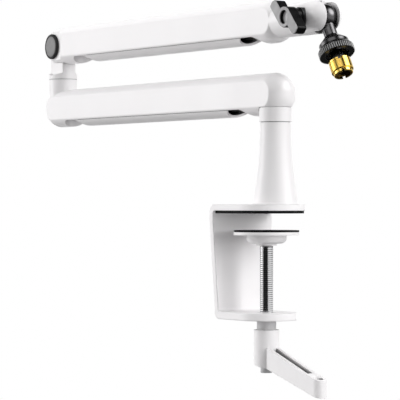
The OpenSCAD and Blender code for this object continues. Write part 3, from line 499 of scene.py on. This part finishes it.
def thread(profile, pitch, start, end, root, around):
    """A screw thread about Z from start to end, on a core of radius root. profile: radii over one pitch.

    What its rows have beyond start and end lies flat on the core there.
    """
    steps = len(profile)
    turns = int(math.ceil((end - start) / pitch)) + LEAD_TURNS

    def radius_and_z(turn, j, step):
        z = start - LEAD_TURNS * pitch + pitch * (turn + j / around + step / steps)
        if z <= start:
            return root, start
        if z >= end:
            return root, end
        r = profile[step]
        return (min(r, root + (z - start) * RUN_OUT, root + (end - z) * RUN_OUT) if r > root else r), z

    def index(turn, j, step):
        if step == steps:
            turn, step = turn + 1, 0
        if j == around:
            turn, j = turn + 1, 0
        return (turn * around + j) * steps + step

    verts, faces = [], []
    for turn in range(turns + LEAD_TURNS):
        for j in range(around):
            for step in range(steps):
                r, z = radius_and_z(turn, j, step)
                verts.append(ring_point(r, j, around, z))
    for turn in range(turns):
        for j in range(around):
            for step in range(steps):
                faces.append((index(turn, j, step), index(turn, j + 1, step),
                              index(turn, j + 1, step + 1), index(turn, j, step + 1)))
    return verts, faces


def block(name, centre, half, m):
    """A closed box for cutting, placed by the matrix m. half: half its sizes."""
    bm = bmesh.new()
    bmesh.ops.create_cube(bm, size=2.0)
    for v in bm.verts:
        v.co = m @ Vector([c + u * h for c, u, h in zip(centre, v.co, half)])
    mesh = bpy.data.meshes.new(name)
    bm.to_mesh(mesh)
    bm.free()
    o = bpy.data.objects.new(name, mesh)
    SCENE.collection.objects.link(o)
    return o


def close_up(mesh):
    """Joins the parts of a mesh where they meet, and turns all faces outwards."""
    bm = bmesh.new()
    bm.from_mesh(mesh)
    bmesh.ops.remove_doubles(bm, verts=bm.verts, dist=MERGE_DISTANCE)
    bmesh.ops.dissolve_degenerate(bm, dist=SLIVER, edges=bm.edges)
    bmesh.ops.recalc_face_normals(bm, faces=bm.faces)
    bm.to_mesh(mesh)
    bm.free()


def cut(obj, cutters, sharp):
    """Cuts the closed objects in cutters out of obj, and removes them."""
    for cutter in cutters:
        boolean = obj.modifiers.new("cut", "BOOLEAN")
        boolean.operation = "DIFFERENCE"
        boolean.solver = "EXACT"
        boolean.object = cutter
    bpy.context.view_layer.update()
    depsgraph = bpy.context.evaluated_depsgraph_get()
    mesh = bpy.data.meshes.new_from_object(obj.evaluated_get(depsgraph))
    obj.modifiers.clear()
    old = obj.data
    obj.data = mesh
    bpy.data.meshes.remove(old)
    for cutter in cutters:
        bpy.data.objects.remove(cutter)
    smooth(mesh, sharp)


# ---------------------------------------------------------------- clamp screw
SCREW_PITCH = 0.0015
SCREW_MAJOR, SCREW_MINOR = 0.0050, 0.00452
SCREW_PROFILE = [SCREW_MINOR] + [SCREW_MAJOR] * 7
SCREW_SHOULDER = -0.0239
SCREW_NOSE_R = 0.0035
SCREW_END_R, SCREW_END_CHAMFER, SCREW_END_LEN = 0.0044, 0.0004, 0.005
SCREW_LAP, SCREW_NOSE_LAP = 0.0006, 0.0008  # how far the plain ends reach into the thread
SCREW_AROUND = 40


def screw_part(bottom, top):
    """Clamp screw about Z: its plain end, its rolled thread, and the turned-down nose above the shoulder."""
    thread_start = bottom + SCREW_END_LEN
    end_top = thread_start + SCREW_LAP
    end = [(0.0, bottom), (SCREW_END_R - SCREW_END_CHAMFER, bottom), (SCREW_END_R, bottom + SCREW_END_CHAMFER),
           (SCREW_END_R, end_top), (SCREW_MINOR, end_top)]
    nose = [(SCREW_MINOR, SCREW_SHOULDER - SCREW_NOSE_LAP), (SCREW_MINOR, SCREW_SHOULDER),
            (SCREW_NOSE_R, SCREW_SHOULDER), (SCREW_NOSE_R, top), (0.0, top)]
    return join(
        thread(SCREW_PROFILE, SCREW_PITCH, thread_start, SCREW_SHOULDER, SCREW_MINOR, SCREW_AROUND),
        lathe(end, SCREW_AROUND),
        lathe(nose, SCREW_AROUND),
    )


lo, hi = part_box("clamp_screw")
screw = piece("clamp_screw_thread", placed(Matrix.Translation(SCREW_AXIS_AT), screw_part(lo.z, hi.z)),
              THREAD, "crank", sharp=50)
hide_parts("clamp_screw")

# ---------------------------------------------------------------- lock wheel
# From the ball's centre along the stem: radius, height and depth of the grooves between the ribs, in mm
WHEEL_ROWS = [
    # inner edge and cone
    (4.86, 16.90, 0), (4.92, 16.81, 0), (5.08, 16.83, 0), (5.30, 17.00, 0), (10.45, 22.15, 0),
    # smooth collar
    (10.68, 22.40, 0), (10.79, 22.70, 0), (10.80, 22.90, 0), (10.80, 24.90, 0), (10.83, 25.12, 0),
    # shoulder
    (11.00, 25.34, 0), (12.10, 26.60, 0), (12.45, 27.05, 0.15), (12.72, 27.40, 0.45), (12.87, 27.68, 0.75),
    # ribbed flange
    (12.90, 27.95, 0.95), (12.90, 31.50, 0.95), (12.86, 31.74, 0.80), (12.72, 31.88, 0.60), (12.45, 31.90, 0.30),
    # underside and hollow
    (12.05, 31.90, 0), (8.86, 31.90, 0), (8.66, 31.83, 0), (8.60, 31.65, 0), (8.60, 29.15, 0),
    (8.53, 28.97, 0), (8.35, 28.90, 0), (5.05, 28.90, 0), (4.86, 28.98, 0),
]
WHEEL_RIBS = 50
RIB_SHAPE = (1.0, 0.52, 0.20, 0.04, 0.0, 0.04, 0.20, 0.52)  # the groove's depth over one rib


def wheel_part():
    around = WHEEL_RIBS * len(RIB_SHAPE)
    verts = []
    for j in range(around):
        share = RIB_SHAPE[j % len(RIB_SHAPE)]
        verts += [ring_point((r - depth * share) * MM, j, around, z * MM) for r, z, depth in WHEEL_ROWS]
    return verts, ring_faces(len(WHEEL_ROWS), around, closed=True)


AT_BALL = frame_on(BALL, STEM_DIRECTION)
wheel = piece("lock_wheel_ribbed", placed(AT_BALL, wheel_part()), WHEEL, "wheel", sharp=28)
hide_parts("lock_wheel")

# ---------------------------------------------------------------- cap over the tilt bolt
# A black ring that stands a little proud, and the grey disc in it, faintly domed
CAP_FACE = 0.0024  # how far the ring's face is from the solid's back
CAP_LIP = 0.0007  # how far the ring's outer edge is rounded, and the middle of that rounding
CAP_LIP_MIDDLE_R, CAP_LIP_MIDDLE_Z = 0.0002, 0.0003
CAP_INNER_CHAMFER = 0.0001
CAP_DISC_R = 0.0086
CAP_DISC_GAP = 0.00005
CAP_DISC_ROWS = [  # radius, and height over the ring's face
    (CAP_DISC_R - CAP_DISC_GAP, -0.0002), (CAP_DISC_R - 0.0002, -0.00008), (0.0060, 0.00002),
    (0.0030, 0.00006), (0.0, 0.00007),
]
CAP_AROUND = 96

lo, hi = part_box("cap_ring")
cap_r = (hi.x - lo.x) / 2
at_cap = frame_on(Vector(((lo.x + hi.x) / 2, hi.y, (lo.z + hi.z) / 2)), -Y)
ring_profile = [
    (CAP_DISC_R, 0.0), (cap_r, 0.0), (cap_r, CAP_FACE - CAP_LIP),
    (cap_r - CAP_LIP_MIDDLE_R, CAP_FACE - CAP_LIP_MIDDLE_Z), (cap_r - CAP_LIP, CAP_FACE),
    (CAP_DISC_R + CAP_INNER_CHAMFER, CAP_FACE), (CAP_DISC_R, CAP_FACE - CAP_INNER_CHAMFER),
]
cap = piece("cap_ring_proud", placed(at_cap, lathe(ring_profile, CAP_AROUND, closed=True)),
            MATT, "upper_arm", sharp=40)
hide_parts("cap_ring")

disc_profile = [(0.0, 0.0), (CAP_DISC_R - CAP_DISC_GAP, 0.0)]
disc_profile += [(r, CAP_FACE + over) for r, over in CAP_DISC_ROWS]
disc = piece("cap_disc_face", placed(at_cap, lathe(disc_profile, CAP_AROUND)),
             DISC, "upper_arm", sharp=40)
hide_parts("cap_disc")

# ---------------------------------------------------------------- thread adapter
# Heights are along the stem from the ball's centre
ADAPTER_NEAR, ADAPTER_TIP = 0.0368, 0.0480
ADAPTER_THREAD = (0.0382, 0.0455)  # outer thread, from the plain band to the nose
ADAPTER_BORE = (0.0420, 0.0460)  # tapped bore, from the step for the stem to the sink
ADAPTER_PITCH, BORE_PITCH = INCH / 27, INCH / 16
ADAPTER_MAJOR, ADAPTER_MINOR = 0.00794, 0.00770
BORE_MINOR, BORE_MIDDLE, BORE_MAJOR = 0.00397, 0.00417, 0.00470
STEM_BORE_R, SINK_R = 0.00481, 0.0052
BAND_R, BAND_CHAMFER = 0.00786, 0.0003
BAND_EDGE_R = 0.00758
NOSE_R, NOSE_CHAMFER = 0.0069, 0.0003
ADAPTER_AROUND = 48
ADAPTER_SHARP = 30

# Driver slots: a cross in the tip and one slot in the near end. Half the length, half the width, and the depth
SLOT_HALF = (0.02, 0.0009, 0.00195)
SLOT_TURN = math.radians(36)
SLOTS = ((ADAPTER_TIP, 0.0), (ADAPTER_TIP, math.pi / 2), (ADAPTER_NEAR, 0.0))


def adapter_part():
    """Thread adapter: 27 threads per inch outside, a plain nose with a sink, 16 threads per inch inside."""
    band, nose = ADAPTER_THREAD
    step, sink = ADAPTER_BORE
    outer = [ADAPTER_MAJOR] * 6 + [ADAPTER_MINOR] * 2
    inner = [BORE_MINOR, BORE_MINOR, BORE_MIDDLE, BORE_MAJOR, BORE_MIDDLE]
    front = [(ADAPTER_MINOR, nose), (NOSE_R, nose), (NOSE_R, ADAPTER_TIP - NOSE_CHAMFER),
             (NOSE_R - NOSE_CHAMFER, ADAPTER_TIP), (SINK_R, ADAPTER_TIP), (SINK_R, sink), (BORE_MINOR, sink)]
    back = [(BORE_MINOR, step), (STEM_BORE_R, step), (STEM_BORE_R, ADAPTER_NEAR), (BAND_EDGE_R, ADAPTER_NEAR),
            (BAND_R, ADAPTER_NEAR + BAND_CHAMFER), (BAND_R, band), (ADAPTER_MINOR, band)]
    return join(
        thread(outer, ADAPTER_PITCH, band, nose, ADAPTER_MINOR, ADAPTER_AROUND),
        turned_inside_out(thread(inner, BORE_PITCH, step, sink, BORE_MINOR, ADAPTER_AROUND)),
        lathe(front, ADAPTER_AROUND),
        lathe(back, ADAPTER_AROUND),
    )


adapter = piece("thread_adapter_cut", placed(AT_BALL, adapter_part()), BRASS, "adapter",
                sharp=ADAPTER_SHARP)
close_up(adapter.data)
slot_cutters = []
for k, (z, turn) in enumerate(SLOTS):
    at_slot = AT_BALL @ Matrix.Rotation(SLOT_TURN + turn, 4, "Z")
    slot_cutters.append(block("cut_%d" % k, (0, 0, z), SLOT_HALF, at_slot))
cut(adapter, slot_cutters, ADAPTER_SHARP)
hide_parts("thread_adapter")

# ---------------------------------------------------------------- floor
FLOOR_Z = -0.30
FLOOR_HALF = 14.0
FLOOR_SEEN = 0.93  # to the camera
FLOOR_BOUNCE = 0.39  # to light that bounces off it
FLOOR_MIRRORED = 0.05  # in polished metal
FLOOR_FADE = (0.7, 1.7)  # distance over which it goes to plain white
# In polished metal it stays dark far off too, around the direction opposite to LIGHT_SIDE. LIGHT_EDGE is how
# closely a place lies along LIGHT_SIDE where the white begins and where it is full
LIGHT_SIDE = (-0.619, 0.786, 0.0)
LIGHT_EDGE = (-0.80, -0.62)


def floor_material():
    """Pale floor with the object's shadow on it, white far off, and clear from below."""
    material = bpy.data.materials.new("floor")
    material.use_nodes = True
    material.node_tree.nodes.clear()
    g = Graph(material.node_tree)
    path = g.node("LightPath").outputs
    geometry = g.node("NewGeometry").outputs
    unseen = g.choose(path["Is Glossy Ray"], g.diffuse(FLOOR_BOUNCE), g.diffuse(FLOOR_MIRRORED))
    near = g.choose(path["Is Camera Ray"], unseen, g.diffuse(FLOOR_SEEN))
    distance = g.vector("LENGTH", geometry["Position"])
    far = g.fade(distance, FLOOR_FADE)
    bearing = g.math("DIVIDE", g.vector("DOT_PRODUCT", geometry["Position"], LIGHT_SIDE), distance)
    mirrored = g.product(g.fade(bearing, LIGHT_EDGE), far, path["Is Glossy Ray"])
    direct = g.product(far, path["Is Camera Ray"])
    white = g.node("Emission").outputs[0]
    above = g.choose(g.math("MAXIMUM", mirrored, direct), near, white)
    clear = g.node("BsdfTransparent").outputs[0]
    g.node("OutputMaterial", Surface=g.choose(geometry["Backfacing"], above, clear))
    return material


floor_corners = [(x * FLOOR_HALF, y * FLOOR_HALF, FLOOR_Z) for x, y in ((-1, -1), (1, -1), (1, 1), (-1, 1))]
floor_mesh = bpy.data.meshes.new("floor")
floor_mesh.from_pydata(floor_corners, [], [(0, 1, 2, 3)])
floor = bpy.data.objects.new("floor", floor_mesh)
SCENE.collection.objects.link(floor)
floor_mesh.materials.append(floor_material())
floor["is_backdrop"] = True

# ---------------------------------------------------------------- world
# White to the camera, a plain level to the diffuse, and for polished metal a studio: two upright soft boxes,
# three lights, dark between them, and the white background behind the part
AMBIENT = 0.445
STUDIO_DARK = 0.01
TOWARD_CAMERA = (0.848, -0.530, 0.0)
CAMERA_RIGHT = (0.530, 0.848, 0.0)

# Strength, azimuths where it begins and ends, and slope where it ends. Azimuths are in radians to the right of
# TOWARD_CAMERA. Each limit is a pair: where the change starts and where it is complete
LEFT_BOX = (0.95, (-2.10, -1.95), (-1.12, -0.92), (0.34, 0.50))
RIGHT_BOX = (0.85, (0.22, 0.38), (1.55, 1.75), (0.42, 0.58))

# Strength, direction, and how closely a ray runs along it at the light's edge and at its full strength
LEFT_LIGHT = (2.2, (-0.718, -0.682, 0.139), (0.930, 0.990))
RIGHT_LIGHT = (5.5, (0.601, 0.541, 0.588), (0.848, 0.990))
TOP_LIGHT = (1.2, (0.331, -0.624, 0.707), (0.840, 0.966))

# The background behind the part: its strength, where it begins against TOWARD_CAMERA, the slope where it ends,
# and the share of it that is left above
BEHIND = 0.95
BEHIND_EDGE = (-0.72, -0.60)
BEHIND_TOP = (0.50, 0.72)
BEHIND_ABOVE = 0.03

world = bpy.data.worlds.new("studio")
SCENE.world = world
world.use_nodes = True
sky = Graph(world.node_tree)
path = sky.node("LightPath").outputs
ray = sky.node("TexCoord").outputs["Generated"]
toward = sky.vector("DOT_PRODUCT", ray, TOWARD_CAMERA)
azimuth = sky.math("ARCTAN2", sky.vector("DOT_PRODUCT", ray, CAMERA_RIGHT), toward)
slope = sky.math("ABSOLUTE", sky.vector("DOT_PRODUCT", ray, UP))


def soft_box(level, begin, end, top):
    """An upright soft box between two azimuths, as high above the level as below it."""
    return sky.product(sky.fade(azimuth, begin, 0.0, level), sky.fade(azimuth, end, 1.0, 0.0),
                       sky.fade(slope, top, 1.0, 0.0))


def glow(level, direction, edge):
    """A round light."""
    return sky.fade(sky.vector("DOT_PRODUCT", ray, direction), edge, 0.0, level)


behind = sky.product(sky.fade(toward, BEHIND_EDGE, BEHIND, 0.0), sky.fade(slope, BEHIND_TOP, 1.0, BEHIND_ABOVE))
studio = sky.total(soft_box(*LEFT_BOX), soft_box(*RIGHT_BOX), glow(*LEFT_LIGHT), glow(*RIGHT_LIGHT),
                   glow(*TOP_LIGHT), behind, STUDIO_DARK)
mirror_ray = sky.math("MAXIMUM", path["Is Glossy Ray"], path["Is Transmission Ray"])
unseen = sky.total(sky.product(mirror_ray, studio), sky.product(sky.inverse(mirror_ray), AMBIENT))
background = sky.nodes["Background"]
sky.feed(background.inputs["Color"], (1.0, 1.0, 1.0, 1.0))
sky.feed(background.inputs["Strength"],
         sky.total(sky.product(unseen, sky.inverse(path["Is Camera Ray"])), path["Is Camera Ray"]))


# ---------------------------------------------------------------- lamps
def lamp(name, aim, direction, distance, size, level):
    """A soft light for the diffuse only. At level 1 it alone lights a white surface that faces it to white."""
    d = Vector(direction).normalized()
    data = bpy.data.lights.new(name, "AREA")
    data.shape = "RECTANGLE"
    data.size, data.size_y = size
    data.energy = math.pi**2 * level * distance**2
    o = bpy.data.objects.new(name, data)
    o.location = Vector(aim) + d * distance
    o.rotation_mode = "QUATERNION"
    o.rotation_quaternion = (-d).to_track_quat("-Z", "Y")
    o.visible_glossy = False
    SCENE.collection.objects.link(o)


MIDDLE = (-0.12, 0.0, 0.04)
ELBOW_SIDE = (-0.36, 0.0, 0.06)

lamp("lamp_left", aim=ELBOW_SIDE, direction=(-0.671, -0.743, 0.16), distance=4.6, size=(2.2, 3.2), level=0.915)
lamp("lamp_right", aim=MIDDLE, direction=(0.940, 0.342, 0.18), distance=2.6, size=(1.25, 2.05), level=0.71)
lamp("lamp_top", aim=MIDDLE, direction=(0.05, 0.05, 1.0), distance=2.6, size=(1.9, 1.9), level=0.45)

lo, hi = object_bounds()
